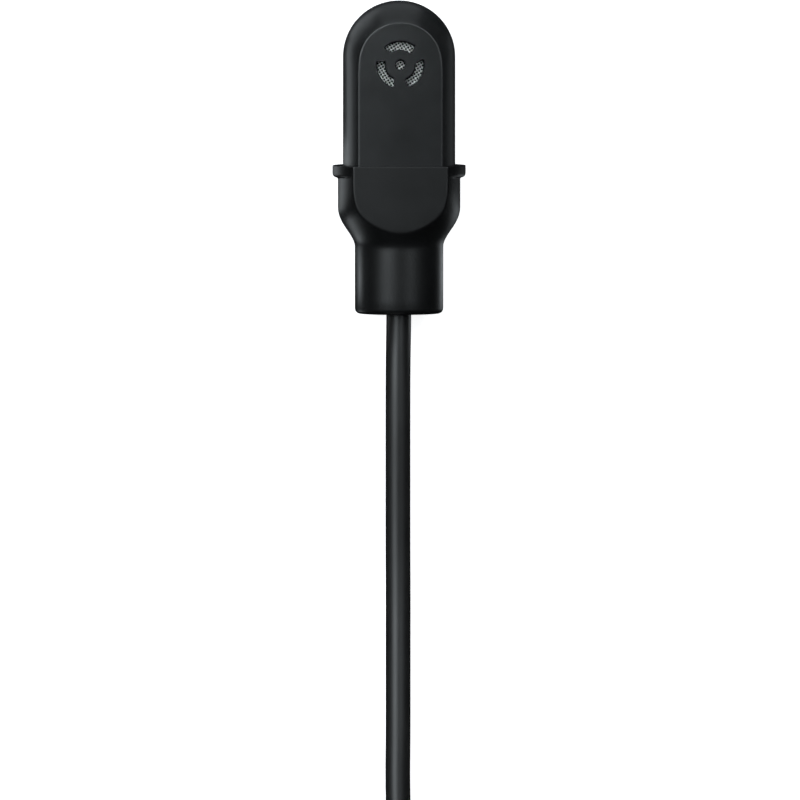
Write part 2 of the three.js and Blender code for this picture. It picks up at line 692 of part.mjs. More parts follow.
function connectorBoot() {
  const profile = [[CORD_BORE, 22.7], [4.4, 22.7], [4.4, 23.6], [3.0, 23.6], [3.0, 24.9]];
  const start = 24.9;
  const segments = 6;
  const pitch = (CONNECTOR_LENGTH - start) / segments;
  for (let i = 0; i < segments; i++) {
    const y = start + i * pitch;
    const radius = 3.7 - (i * 2.0) / (segments - 1);
    profile.push([radius, y + 0.02], [radius, y + 0.72 * pitch], [radius - 0.45, y + 0.74 * pitch]);
    profile.push([radius - 0.45, y + pitch]);
  }
  profile.push([CORD_BORE, CONNECTOR_LENGTH]);
  return turnedAlongY(profile);
}

// A lead from the cable's end to the solder end of a contact.
function lead([x, , z]) {
  const route = [[0.25 * x, 19.3, 0.25 * z], [0.5 * x, 17.6, 0.5 * z], [x, 14.6, z], [x, 11.55, z]];
  return cord(route, 0.28, WIRE_SIDES, 0.9);
}

function buildConnector(object) {
  const connector = new THREE.Group();
  connector.position.set(0, CONNECTOR_NOSE_Y, BARREL_RADIUS);
  object.add(connector);
  part(connector, 'connector_shell', connectorShell(), darkMetal);
  part(connector, 'connector_insert', connectorInsert(), blackPlastic);
  part(connector, 'latch_button', latchButton(), nickel);
  part(connector, 'latch_spring', latchSpring(), nickel);
  part(connector, 'insert_screw', insertScrew(), nickel);
  part(connector, 'insulating_sleeve', insulatingSleeve(), insulator);
  part(connector, 'cable_clamp', cableClamp(), blackPlastic);
  part(connector, 'rear_nut', rearNut(), darkMetal);
  part(connector, 'connector_boot', connectorBoot(), blackRubber);
  const places = contactPlaces();
  const leadMaterials = [redWire, blueWire, copper];
  places.forEach((place, i) => part(connector, `contact_${i + 1}`, contact(place), gold));
  leadMaterials.forEach((material, i) => part(connector, `lead_${i + 1}`, lead(places[i]), material));
}

// ---------------------------------------------------------------- assembly

const microphone = new THREE.Group();
buildHead(microphone);
buildCable(microphone);
buildConnector(microphone);

export default microphone;
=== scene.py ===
"""The looks of a lavalier microphone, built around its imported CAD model.

It lies on its flat back, +Y towards the head's tip and +Z out of the sound ports. Meshes are worked out in
millimetres and scaled to metres when they are made.
"""
import math

import bmesh
import bpy
from mathutils import Matrix, Vector
from mathutils.geometry import tessellate_polygon


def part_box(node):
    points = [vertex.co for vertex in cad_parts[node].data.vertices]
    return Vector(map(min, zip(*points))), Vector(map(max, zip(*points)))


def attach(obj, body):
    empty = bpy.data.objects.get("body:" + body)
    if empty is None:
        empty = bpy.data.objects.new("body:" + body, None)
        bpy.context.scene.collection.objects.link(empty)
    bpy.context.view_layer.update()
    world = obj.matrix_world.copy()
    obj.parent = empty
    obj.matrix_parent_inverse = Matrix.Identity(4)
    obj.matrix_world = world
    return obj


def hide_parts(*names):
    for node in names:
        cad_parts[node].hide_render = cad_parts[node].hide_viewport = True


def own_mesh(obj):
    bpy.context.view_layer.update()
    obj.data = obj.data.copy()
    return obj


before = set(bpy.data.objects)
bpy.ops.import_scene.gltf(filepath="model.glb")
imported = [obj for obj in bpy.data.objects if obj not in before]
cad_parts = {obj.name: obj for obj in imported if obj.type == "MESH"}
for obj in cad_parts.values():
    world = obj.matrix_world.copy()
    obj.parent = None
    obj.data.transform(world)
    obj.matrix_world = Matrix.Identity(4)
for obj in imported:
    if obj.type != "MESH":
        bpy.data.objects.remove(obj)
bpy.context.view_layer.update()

MM = 0.001
BODY = "microphone"
LATCH = "latch"

# ------------------------ sizes that repeat the CAD's, in millimetres


def cad_box(node):
    """The lowest and highest corners of a CAD node, in millimetres."""
    low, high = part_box(node)
    return low / MM, high / MM


BOOT_LOW, BOOT_HIGH = cad_box("strain_boot")
SHELL_LOW, SHELL_HIGH = cad_box("head_shell")
TIE_LOW, TIE_HIGH = cad_box("cable_tie")
PLUG_LOW, PLUG_HIGH = cad_box("connector_shell")
GRILLE_LOW, GRILLE_HIGH = cad_box("grille_mesh")

AXIS_Z = (BOOT_LOW.z + BOOT_HIGH.z) / 2
HEAD_TIP = SHELL_HIGH.y
HEAD_END = BOOT_LOW.y
PAD_DEPTH = (BOOT_HIGH.z - BOOT_LOW.z) / 2
FLAT_DEPTH = (SHELL_HIGH.z - SHELL_LOW.z) / 2

HOUSING_RADIUS = 3.64
HOUSING_END = -0.525
HOUSING_WALL = 0.55
DOME_START = HEAD_TIP - HOUSING_RADIUS
DOME_SLOPE_START = 5.4
DOME_SLOPE_POWER = 0.595
HOUSING_OVAL_DEPTH = 3.72  # half the depth that it would have without its flat faces
SPIGOT = (3.1, 1.95)  # a radius, and half the depth between its flats, as the bores' and the socket's
SPIGOT_BORE = (2.6, 1.45)
SPIGOT_END = -4.0

PORT_Y = (GRILLE_LOW.y + GRILLE_HIGH.y) / 2
PORT_OUTER = 1.55
PORT_INNER = 0.95
PORT_HALF_ANGLE = math.radians(44.5)
PORT_CORNER = 0.16
PORT_CHAMFER = 0.03
CENTRE_HOLE = 0.34

BOOT_TOP = -0.53
FLANGE = (4.32, 3.56)  # half its width and half its depth, as the neck's
FLANGE_THICKNESS = 0.78
FLANGE_EDGE = 0.27
FLANGE_FILLET = ((0.35, 0.0), (0.1, 0.02), (0.04, 0.05), (0.01, 0.09))
PAD_EDGE = 0.03
PAD_ROWS_END = -1.6
CUP_RADIUS = 3.97
NECK = (2.87, 2.15)
NECK_EDGE = 0.35
NECK_ROWS = (-9.2, -8.4, -7.6, -6.9, -6.4, -6.1)
SHOULDER_SIDE = (-3.21, -5.81, 1.18)  # where the shoulder starts and ends, and how its curve leans
SHOULDER_FRONT = (-1.5, -5.9, 1.3)
SHOULDER_END = -6.0
SOCKET = (3.16, 2.01)
BOOT_CORE = (1.75, 1.74)
BOOT_CORE_END = -7.2
BOOT_BORE = (0.84, 0.83)
CLEARANCE = 0.03

CORD_RADIUS = 0.8
CORD_REST = 0.82
FACET_ALLOWANCE = 1.012  # flat facets make a tube narrower than its corners are, and this makes up for it
FOLD_INNER = 4.8
FOLD_NEAR = -56.5
HANK_RUN = 29.5
WAIST_PINCH = 3.4
WAIST_LIFT = 0.55

BARREL_RADIUS = 5.55
NOSE_Y = PLUG_LOW.y
PLUG_Z = (PLUG_LOW.z + PLUG_HIGH.z) / 2

# ------------------------ camera, light and floor


def axes_towards(towards, up):
    """Turns an object's own +Z towards a direction, and its +Y up."""
    back = Vector(towards).normalized()
    right = Vector(up).cross(back).normalized()
    return Matrix((right, back.cross(right), back)).transposed().to_4x4()


COOL_WHITE = (0.925, 1.0, 1.04)
AMBIENT = (0.9, 0.95, 1, 1)
AMBIENT_STRENGTH = 0.007
FLOOR_HALF = 1.5  # metres
FLOOR_GLOW = 0.88  # with what the lights add, the floor is just white


def make_camera():
    """A long lens, close to straight above the head's front."""
    view_width = 51.95 * MM
    distance = 0.9
    target = Vector((0.08, -15.81, 2.0)) * MM
    towards = Vector((-0.038, 0.06, 1.0)).normalized()
    data = bpy.data.cameras.new("camera")
    data.sensor_width = 36
    data.lens = data.sensor_width * distance / view_width
    data.clip_start = 0.01
    data.clip_end = 10
    camera = bpy.data.objects.new("camera", data)
    bpy.context.scene.collection.objects.link(camera)
    camera.matrix_world = Matrix.Translation(target + towards * distance) @ axes_towards(towards, (0, 1, 0))
    bpy.context.scene.camera = camera


def make_light(name, towards, target_y, reach, size, radiance, up=(0, 1, 0), spread=180):
    """A soft box that faces a point on the head's axis. target_y, reach and size are in millimetres, and
    spread, the whole angle that it shines into, is in degrees."""
    data = bpy.data.lights.new(name, "AREA")
    data.shape = "RECTANGLE"
    data.size, data.size_y = size[0] * MM, size[1] * MM
    data.energy = radiance * math.pi * data.size * data.size_y
    if spread < 180:
        # A narrow spread is brighter in its middle. radiance is what it has there.
        data.spread = math.radians(spread)
        data.energy *= 1 - data.spread / 2 / math.tan(data.spread / 2)
    data.color = COOL_WHITE
    light = bpy.data.objects.new(name, data)
    bpy.context.scene.collection.objects.link(light)
    place = Vector((0, target_y, AXIS_Z)) + Vector(towards).normalized() * reach
    light.matrix_world = Matrix.Translation(place * MM) @ axes_towards(towards, up)
    light.visible_camera = False


def make_lights():
    """Two keys and soft fills, and small lights that each draw the highlight on one part."""
    make_light("key_left", (-0.5, 0.36, 1), -5, 400, (150, 240), 5.6)
    make_light("key_right", (0.42, 0.36, 1), -5, 400, (110, 240), 4.1)
    make_light("brow", (0, 1, 0.7), 8, 200, (220, 160), 1.1)
    make_light("near_left", (-0.3, 0.1, 1), 0, 25, (8, 24), 0.9)
    make_light("cable_left", (-0.56, 0, 0.83), -33.5, 8, (8.5, 42), 3.5, spread=64)
    make_light("cable_right", (0.6, 0, 0.8), -26, 8, (8.5, 25), 0.45, spread=64)
    make_light("ports", (-0.12, 0.42, 0.9), 5.3, 20, (3, 3), 42.0, spread=20)
    make_light("rim_left", (-0.87, 0, -0.5), 3, 24, (9, 20), 0.95)
    make_light("cup_left", (-0.7, 0, -0.72), -2.5, 16, (8, 6), 1.0, spread=64)
    make_light("neck_left", (-0.92, 0, -0.38), -8.1, 16, (10, 3), 7.5, spread=26)
    make_light("shoulder_left", (-0.73, -0.55, -0.41), -4.9, 16, (10, 6), 3.5, spread=40)
    make_light("neck_right", (0.62, 0, -0.78), -8.1, 16, (8, 3), 2.0, spread=26)
    make_light("rim_right", (0.82, 0, -0.57), -9, 20, (11, 9), 1.2, spread=90)
    make_light("rim_right_high", (0.82, 0, -0.57), 5, 24, (11, 18), 0.14)
    make_light("side_left", (-0.84, 0, 0.54), -105, 50, (14, 80), 4.0, spread=40)
    make_light("side_right", (0.84, 0, 0.54), -105, 50, (14, 80), 4.0, spread=40)
    make_light("plug_nose", (-0.35, -1, 0.5), -140, 60, (40, 40), 3.0, spread=60)
    make_light("crown_left", (-0.66, 0.6, -0.44), 6, 30, (18, 22), 0.85)
    make_light("crown", (0, 0.97, -0.22), 6, 40, (34, 48), 0.38, (0, 0, 1))


def make_world():
    """White where the camera sees it, and close to dark for everything that it lights."""
    world = bpy.data.worlds.new("studio")
    bpy.context.scene.world = world
    world.use_nodes = True
    nodes, links = world.node_tree.nodes, world.node_tree.links
    seen = nodes.new("ShaderNodeBackground")
    seen.inputs["Color"].default_value = (1, 1, 1, 1)
    seen.inputs["Strength"].default_value = 1.0
    lit = nodes["Background"]
    lit.inputs["Color"].default_value = AMBIENT
    lit.inputs["Strength"].default_value = AMBIENT_STRENGTH
    path = nodes.new("ShaderNodeLightPath")
    mix = nodes.new("ShaderNodeMixShader")
    links.new(path.outputs["Is Camera Ray"], mix.inputs["Fac"])
    links.new(lit.outputs["Background"], mix.inputs[1])
    links.new(seen.outputs["Background"], mix.inputs[2])
    links.new(mix.outputs["Shader"], nodes["World Output"].inputs["Surface"])


def make_floor():
    """A white floor, which the lights below it shine through."""
    half = FLOOR_HALF
    data = bpy.data.meshes.new("floor")
    data.from_pydata(
        [(-half, -half, 0), (half, -half, 0), (half, half, 0), (-half, half, 0)], [], [(0, 1, 2, 3)]
    )
    floor = bpy.data.objects.new("floor", data)
    bpy.context.scene.collection.objects.link(floor)
    material, shader, *_ = new_material("floor_white", (1, 1, 1), 0.9)
    shader.inputs["Specular IOR Level"].default_value = 0.0
    shader.inputs["Emission Color"].default_value = (1, 1, 1, 1)
    shader.inputs["Emission Strength"].default_value = FLOOR_GLOW
    data.materials.append(material)
    floor.visible_glossy = False
    floor.visible_shadow = False


# ------------------------ materials


def new_material(name, color, roughness, metallic=0.0):
    material = bpy.data.materials.new(name)
    material.use_nodes = True
    nodes, links = material.node_tree.nodes, material.node_tree.links
    shader = nodes["Principled BSDF"]
    shader.inputs["Base Color"].default_value = (*color, 1)
    shader.inputs["Roughness"].default_value = roughness
    shader.inputs["Metallic"].default_value = metallic
    return material, shader, nodes, links


def noise(nodes, links, feature, detail=3.0):
    """Noise that stays fixed to its piece. feature is the size of its blots, in millimetres."""
    place = nodes.new("ShaderNodeTexCoord")
    texture = nodes.new("ShaderNodeTexNoise")
    texture.inputs["Scale"].default_value = 1 / (feature * MM)
    texture.inputs["Detail"].default_value = detail
    links.new(place.outputs["Object"], texture.inputs["Vector"])
    return texture.outputs["Fac"]


NOISE_LOW, NOISE_HIGH = 0.3, 0.7  # nearly all of a noise texture lies between these
CLOUD_SIZE = 2.5  # millimetres


def ranged(nodes, links, value, low, high):
    """A noise value as a range of numbers."""
    node = nodes.new("ShaderNodeMapRange")
    node.inputs["From Min"].default_value = NOISE_LOW
    node.inputs["From Max"].default_value = NOISE_HIGH
    node.inputs["To Min"].default_value = low
    node.inputs["To Max"].default_value = high
    links.new(value, node.inputs["Value"])
    return node.outputs["Result"]


def mixed_color(nodes, links, factor, first, second):
    node = nodes.new("ShaderNodeMix")
    node.data_type = "RGBA"
    node.inputs["A"].default_value = (*first, 1)
    node.inputs["B"].default_value = (*second, 1)
    links.new(factor, node.inputs["Factor"])
    return node.outputs["Result"]


def add_bump(nodes, links, shader, height, depth, strength=0.5):
    """depth is in millimetres."""
    bump = nodes.new("ShaderNodeBump")
    bump.inputs["Strength"].default_value = strength
    bump.inputs["Distance"].default_value = depth * MM
    links.new(height, bump.inputs["Height"])
    links.new(bump.outputs["Normal"], shader.inputs["Normal"])


def grained(name, dark, light, roughness, grain, depth, metallic=0.0, ior=1.5):
    """A surface with two close colours, a varied gloss and a fine grain. grain is the grain's size and depth
    its depth, in millimetres."""
    material, shader, nodes, links = new_material(name, dark, sum(roughness) / 2, metallic)
    cloud = noise(nodes, links, CLOUD_SIZE)
    fine = noise(nodes, links, grain, 2.0)
    links.new(mixed_color(nodes, links, ranged(nodes, links, cloud, 0, 1), dark, light),
              shader.inputs["Base Color"])
    links.new(ranged(nodes, links, cloud, *roughness), shader.inputs["Roughness"])
    add_bump(nodes, links, shader, fine, depth)
    shader.inputs["IOR"].default_value = ior
    return material


def make_materials():
    return {
        "housing": grained("housing_plastic", (0.009, 0.0095, 0.01), (0.011, 0.0115, 0.012),
                           (0.295, 0.335), 0.06, 0.002, ior=1.53),
        "boot": grained("boot_rubber", (0.003, 0.0031, 0.0033), (0.0045, 0.0047, 0.005),
                        (0.35, 0.39), 0.07, 0.003, ior=1.485),
        "jacket": grained("cable_jacket", (0.007, 0.007, 0.007), (0.009, 0.009, 0.009),
                          (0.4, 0.45), 0.08, 0.004, ior=1.65),
        "steel": grained("mesh_steel", (0.9, 0.9, 0.89), (0.96, 0.96, 0.95),
                         (0.27, 0.33), 0.05, 0.001, 1.0),
        "nickel": grained("nickel_plate", (0.36, 0.355, 0.34), (0.43, 0.42, 0.4),
                          (0.32, 0.4), 0.2, 0.001, 1.0),
        "gold": grained("gold_plate", (0.72, 0.5, 0.2), (0.8, 0.57, 0.25), (0.22, 0.3), 0.2, 0.001, 1.0),
        "anodised": grained("anodised_metal", (0.02, 0.021, 0.023), (0.026, 0.027, 0.03),
                            (0.3, 0.36), 0.08, 0.002, 0.3),
        "insert": grained("insert_plastic", (0.012, 0.012, 0.013), (0.016, 0.016, 0.017),
                          (0.45, 0.55), 0.12, 0.004),
        # Painted shade: the near-black rims that stand in for the shadow of the openings' walls on the
        # grille
        "edge": grained("painted_port_shade", (0.004, 0.004, 0.004), (0.006, 0.006, 0.006), (0.6, 0.7), 0.1, 0.002),
        "foam": grained("foam", (0.035, 0.035, 0.036), (0.05, 0.05, 0.052), (0.85, 0.95), 0.25, 0.05),
        "insulator": grained("natural_plastic", (0.5, 0.45, 0.36), (0.58, 0.53, 0.43),
                             (0.45, 0.55), 0.3, 0.004),
        "cloth": grained("membrane_cloth", (0.012, 0.012, 0.013), (0.02, 0.02, 0.021),
                         (0.75, 0.85), 0.08, 0.01),
        "film": grained("metallised_film", (0.6, 0.62, 0.65), (0.68, 0.7, 0.73),
                        (0.15, 0.25), 0.4, 0.002, 1.0),
        "board": grained("circuit_board", (0.015, 0.1, 0.04), (0.02, 0.13, 0.055),
                         (0.35, 0.45), 0.2, 0.003),
        "tie": tie_material(),
        "thread": grained("thread", (0.02, 0.02, 0.021), (0.035, 0.035, 0.036), (0.7, 0.8), 0.05, 0.01),
        "red": grained("red_insulation", (0.33, 0.025, 0.02), (0.4, 0.035, 0.025),
                       (0.4, 0.5), 0.1, 0.002),
        "blue": grained("blue_insulation", (0.02, 0.06, 0.26), (0.03, 0.08, 0.32),
                        (0.4, 0.5), 0.1, 0.002),
        "copper": grained("copper_strands", (0.55, 0.25, 0.12), (0.65, 0.31, 0.16),
                          (0.3, 0.4), 0.1, 0.004, 1.0),
    }


def tie_material():
    """Black looped fabric, with painted shade: the colour darkens where the loops' bump sinks into valleys.
    """
    material, shader, nodes, links = new_material("tie_fabric", (0.012, 0.012, 0.013), 0.9)
    shader.inputs["Sheen Weight"].default_value = 0.3
    valley_shade, pile = (0.007, 0.007, 0.008), (0.03, 0.03, 0.032)
    # Painted shade: the noise that lowers the bump also darkens the colour, so the valleys look shaded
    loops = noise(nodes, links, 0.22, 4.0)
    links.new(mixed_color(nodes, links, ranged(nodes, links, loops, 0, 1), valley_shade, pile),
              shader.inputs["Base Color"])
    add_bump(nodes, links, shader, loops, 0.18, 0.9)
    return material


# ------------------------ mesh making


SMOOTH_ANGLE = 35.0  # degrees


def make_piece(name, skin, material, smooth_angle=SMOOTH_ANGLE, body=BODY):
    """An object from a skin in millimetres. Faces meet sharply past smooth_angle."""
    mesh = bpy.data.meshes.new(name)
    mesh.from_pydata([tuple(c * MM for c in p) for p in skin.points], [], skin.faces)
    solid = bmesh.new()
    solid.from_mesh(mesh)
    bmesh.ops.recalc_face_normals(solid, faces=solid.faces)
    solid.to_mesh(mesh)
    solid.free()
    mesh.materials.append(material)
    finish_shading(mesh, smooth_angle)
    piece = bpy.data.objects.new(name, mesh)
    bpy.context.scene.collection.objects.link(piece)
    add_modifier(piece, "WEIGHTED_NORMAL", keep_sharp=True, weight=50)
    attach(piece, body)
    return piece


def finish_shading(mesh, smooth_angle=SMOOTH_ANGLE):
    mesh.shade_smooth()
    mesh.set_sharp_from_angle(angle=math.radians(smooth_angle))


def add_modifier(piece, kind, **settings):
    modifier = piece.modifiers.new(kind.lower(), kind)
    for setting, value in settings.items():
        setattr(modifier, setting, value)
    return modifier


def combine(piece, operation, *skins):
    """Joins solids to a piece or cuts them from it, and keeps the result as the piece's own mesh."""
    piece.modifiers.clear()
    others = []
    for skin in skins:
        mesh = bpy.data.meshes.new("tool")
        mesh.from_pydata([tuple(c * MM for c in p) for p in skin.points], [], skin.faces)
        other = bpy.data.objects.new("tool", mesh)
        bpy.context.scene.collection.objects.link(other)
        others.append(other)
        add_modifier(piece, "BOOLEAN", operation=operation, object=other, solver="EXACT")
    shape = bpy.data.meshes.new_from_object(piece.evaluated_get(bpy.context.evaluated_depsgraph_get()))
    piece.modifiers.clear()
    piece.data = shape
    finish_shading(shape)
    for other in others:
        bpy.data.objects.remove(other)
    add_modifier(piece, "WEIGHTED_NORMAL", keep_sharp=True, weight=50)


class Skin:
    """Points and faces that are gathered ring by ring. Points that fall together are one."""

    def __init__(self):
        self.points = []
        self.faces = []
        self.known = {}

    def point(self, p):
        key = tuple(round(c * 5000) for c in p)
        if key not in self.known:
            self.known[key] = len(self.points)
            self.points.append(tuple(p))
        return self.known[key]

    def face(self, corners):
        indices = [self.point(c) for c in corners]
        kept = [v for i, v in enumerate(indices) if v != indices[i - 1]]
        if len(set(kept)) > 2:
            self.faces.append(kept)

    def bridge(self, rings, skip=()):
        """Quads between closed rings of equal count. skip holds column numbers that stay open."""
        for low, high in zip(rings, rings[1:]):
            count = len(low)
            for i in range(count):
                if i not in skip:
                    j = (i + 1) % count
                    self.face([low[i], low[j], high[j], high[i]])

    def tube(self, rings):
        """A closed solid through rings of equal count, with its two ends filled."""
        self.bridge(rings)
        self.face(rings[0][::-1])
        self.face(rings[-1])

    def fill(self, loops):
        """A flat face with holes, the outline first."""
        corners = [p for loop in loops for p in loop]
        for trio in tessellate_polygon([[Vector(p) for p in loop] for loop in loops]):
            self.face([corners[i] for i in trio])


def moved(points, offset):
    return [tuple(a + b for a, b in zip(p, offset)) for p in points]


def eased_drop(y, start, end, skew):
    """0 before start, 1 after end, with level ends."""
    t = min(max((start - y) / (start - end), 0), 1) ** skew
    return t * t * (3 - 2 * t)


# ------------------------ flat-sided skins of the head

EDGE_STEPS = (-0.5, -0.3, -0.2, -0.13, -0.08, -0.04, 0.0)  # columns on the flat, from the edge inwards
EDGE_SOFTNESS = 0.09
CREST_SOFTNESS = 0.045  # where the dome meets the front flat
SIDE_STEPS = (0.012, 0.03, 0.06, 0.11, 0.18, 0.27, 0.37, 0.47, 0.57, 0.67, 0.76, 0.84, 0.91, 0.96, 1.0)


def soft_low(a, b, softness):
    """The lower of two values, rounded where they differ by less than softness."""
    share = max(0, 1 - abs(a - b) / softness)
    return min(a, b) - softness * share * share / 4


def reach(shapes, angle):
    """How far from the axis the largest of some ovals is, at an angle up from +X."""
    return max(1 / math.hypot(math.cos(angle) / width, math.sin(angle) / depth) for width, depth in shapes)


def quadrant(shapes, flat_depth, softness):
    """x and z from the flat's inner column to the widest point, for x and z above 0."""
    cut = [(width, depth) for width, depth in shapes if depth > flat_depth]
    edge = max((width * math.sqrt(1 - (flat_depth / depth) ** 2) for width, depth in cut), default=0)
    start = math.atan2(flat_depth, edge) if cut else math.pi / 2
    angles = [math.atan2(flat_depth, max(0, edge + step)) for step in EDGE_STEPS]
    angles += [start * (1 - step) for step in SIDE_STEPS]
    to_flat = [flat_depth / max(math.sin(angle), 0.001) for angle in angles]
    radii = [soft_low(far, reach(shapes, angle), softness) for far, angle in zip(to_flat, angles)]
    return [(r * math.cos(angle), r * math.sin(angle)) for r, angle in zip(radii, angles)]


def flatted_ring(y, shapes, flat_depth, softness=EDGE_SOFTNESS):
    """A closed ring about the head's axis, round the outside of some ovals, with a flat in front and one
    behind. It runs from the front's middle to the right, round the back, and up the left."""
    right = quadrant(shapes, flat_depth, softness)
    ring = [(x, y, z) for x, z in right]
    ring += [(x, y, -z) for x, z in right[-2::-1]]
    ring += [(-x, y, -z) for x, z in right]
    ring += [(-x, y, z) for x, z in right[-2::-1]]
    return moved(ring, (0, 0, AXIS_Z))


def round_ring(y, radius, flat_depth):
    return flatted_ring(y, [(radius, radius)], flat_depth)


FRONT_STRIP = 4 * (len(EDGE_STEPS) + len(SIDE_STEPS)) - 3  # the ring's last column, across the front flat


def bisect(low, high, is_low):
    for _ in range(50):
        middle = (low + high) / 2
        if is_low(middle):
            low = middle
        else:
            high = middle
    return (low + high) / 2


def housing_width(y):
    t = max(0, y - DOME_START) / HOUSING_RADIUS
    return HOUSING_RADIUS * math.sqrt(max(0, 1 - t * t))


def housing_depth(y):
    t = max(0, y - DOME_SLOPE_START) / (HEAD_TIP - DOME_SLOPE_START)
    return HOUSING_OVAL_DEPTH * max(0, 1 - t * t) ** DOME_SLOPE_POWER


def housing_softness(y):
    t = min(max((y - DOME_START) / 1.5, 0), 1)
    return EDGE_SOFTNESS + (CREST_SOFTNESS - EDGE_SOFTNESS) * t * t * (3 - 2 * t)


def dome_heights(start, flat_end, tip):
    """Heights from start to just under the tip, close together where the flat ends."""
    below = [start + (flat_end - start) * math.sin(math.radians(a)) for a in range(0, 72, 5)]
    crest = [flat_end + i * 0.03 for i in range(-6, 9)]
    above = [flat_end + (tip - flat_end) * math.sin(math.radians(a)) for a in range(15, 85, 6)]
    return below + crest + above


def slot_outline(turn, grow):
    """One arc slot with rounded corners, around the port's centre."""
    outer, inner = PORT_OUTER + grow, PORT_INNER - grow
    corner = PORT_CORNER + grow
    half = PORT_HALF_ANGLE + grow / PORT_OUTER
    steps = 18
    points = []
    for radius, sign, inward in ((outer, 1, -1), (inner, -1, 1)):
        trim = half - corner / radius
        for i in range(steps + 1):
            points.append((radius, sign * trim * (2 * i / steps - 1)))
        centre_radius = radius + inward * corner
        for i in range(1, 5):
            a = i * math.pi / 10
            points.append((
                centre_radius - inward * corner * math.cos(a),
                sign * (trim + corner / radius * math.sin(a)),
            ))
    return [(r * math.cos(turn + a), PORT_Y + r * math.sin(turn + a)) for r, a in points]


def circle_outline(radius):
    turns = [math.pi * i / 14 for i in range(28)]
    return [(radius * math.cos(a), PORT_Y + radius * math.sin(a)) for a in turns]


def port_outlines(grow):
    slots = [slot_outline(math.pi / 2 + i * 2 * math.pi / 3, grow) for i in range(3)]
    return slots + [circle_outline(CENTRE_HOLE + grow)]


def raised(outline, depth):
    return [(x, y, AXIS_Z + depth) for x, y in outline]


def flat_outline(rings):
    """The outline of a ring set's front flat: up the right side, and back down the left."""
    right = [ring[0] for ring in rings]
    left = [ring[-1] for ring in rings]
    outline = right + left[::-1]
    return [p for i, p in enumerate(outline) if (Vector(p) - Vector(outline[i - 1])).length > 1e-4]


def make_housing(material):
    """Two skins, outside and inside, joined through the ports and down the spigot."""
    skin = Skin()
    flat_end = bisect(DOME_SLOPE_START, HEAD_TIP, lambda y: housing_depth(y) > FLAT_DEPTH)
    heights = [HOUSING_END, HOUSING_END + 0.03, 0.5, 2, 4]
    heights += dome_heights(DOME_SLOPE_START, flat_end, HEAD_TIP)
    outer = [
        flatted_ring(y, [(housing_width(y), housing_depth(y))], FLAT_DEPTH, housing_softness(y))
        for y in heights
    ]
    tip = [(0, HEAD_TIP, AXIS_Z)] * len(outer[0])
    flat_rings = [
        ring for ring, y in zip(outer, heights) if housing_depth(y) > FLAT_DEPTH + CREST_SOFTNESS
    ]
    flat_count = len(flat_rings)
    skin.bridge(outer[:flat_count], skip={FRONT_STRIP})
    skin.bridge([*outer[flat_count - 1:], tip])

    wall = HOUSING_WALL
    ceiling = FLAT_DEPTH - wall

    def room_width(y):
        return housing_width(y + wall) - wall

    def room_depth(y):
        return housing_depth(y + wall) - wall

    inner_end = bisect(DOME_SLOPE_START - wall, HEAD_TIP - 1, lambda y: room_depth(y) > ceiling)
    inner_heights = [0, 2, 4, *dome_heights(DOME_SLOPE_START - wall, inner_end, HEAD_TIP - 2 * wall)]
    inner = [flatted_ring(y, [(room_width(y), room_depth(y))], ceiling) for y in inner_heights]
    inner_tip = [(0, HEAD_TIP - 2 * wall + 0.05, AXIS_Z)] * len(inner[0])
    inner_flat = [ring for ring, y in zip(inner, inner_heights) if room_depth(y) > ceiling + EDGE_SOFTNESS]
    skin.bridge([ring[::-1] for ring in inner[:len(inner_flat)]], skip={FRONT_STRIP})
    skin.bridge([ring[::-1] for ring in [*inner[len(inner_flat) - 1:], inner_tip]])

    skin.fill([flat_outline(flat_rings), *[raised(o, FLAT_DEPTH) for o in port_outlines(PORT_CHAMFER)]])
    skin.fill([flat_outline(inner_flat), *[raised(o, ceiling) for o in port_outlines(0)]])
    for wide, narrow in zip(port_outlines(PORT_CHAMFER), port_outlines(0)):
        chamfer = [raised(narrow, FLAT_DEPTH - PORT_CHAMFER), raised(wide, FLAT_DEPTH)]
        skin.bridge([loop[::-1] for loop in (raised(narrow, ceiling), *chamfer)])

    foot = [
        round_ring(0, *SPIGOT_BORE),
        round_ring(SPIGOT_END, *SPIGOT_BORE),
        round_ring(SPIGOT_END, *SPIGOT),
        round_ring(HOUSING_END, *SPIGOT),
    ]
    skin.bridge([inner[0], *foot, outer[0]])
    piece = make_piece("housing", skin, material)
    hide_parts("head_shell")


# ------------------------ strain boot


def boot_width(y):
    return CUP_RADIUS - (CUP_RADIUS - NECK[0]) * eased_drop(y, *SHOULDER_SIDE)


def boot_depth(y):
    return CUP_RADIUS - (CUP_RADIUS - NECK[1]) * eased_drop(y, *SHOULDER_FRONT)


def cup_shape(y, inset=0.0):
    return boot_width(y) - inset, boot_depth(y) - inset


def rounded_corner(radius, steps=5):
    """(in, along) pairs round a convex corner, from its start to its end."""
    turns = [i * math.pi / 2 / steps for i in range(steps + 1)]
    return [(radius * (1 - math.cos(a)), radius * math.sin(a)) for a in turns]


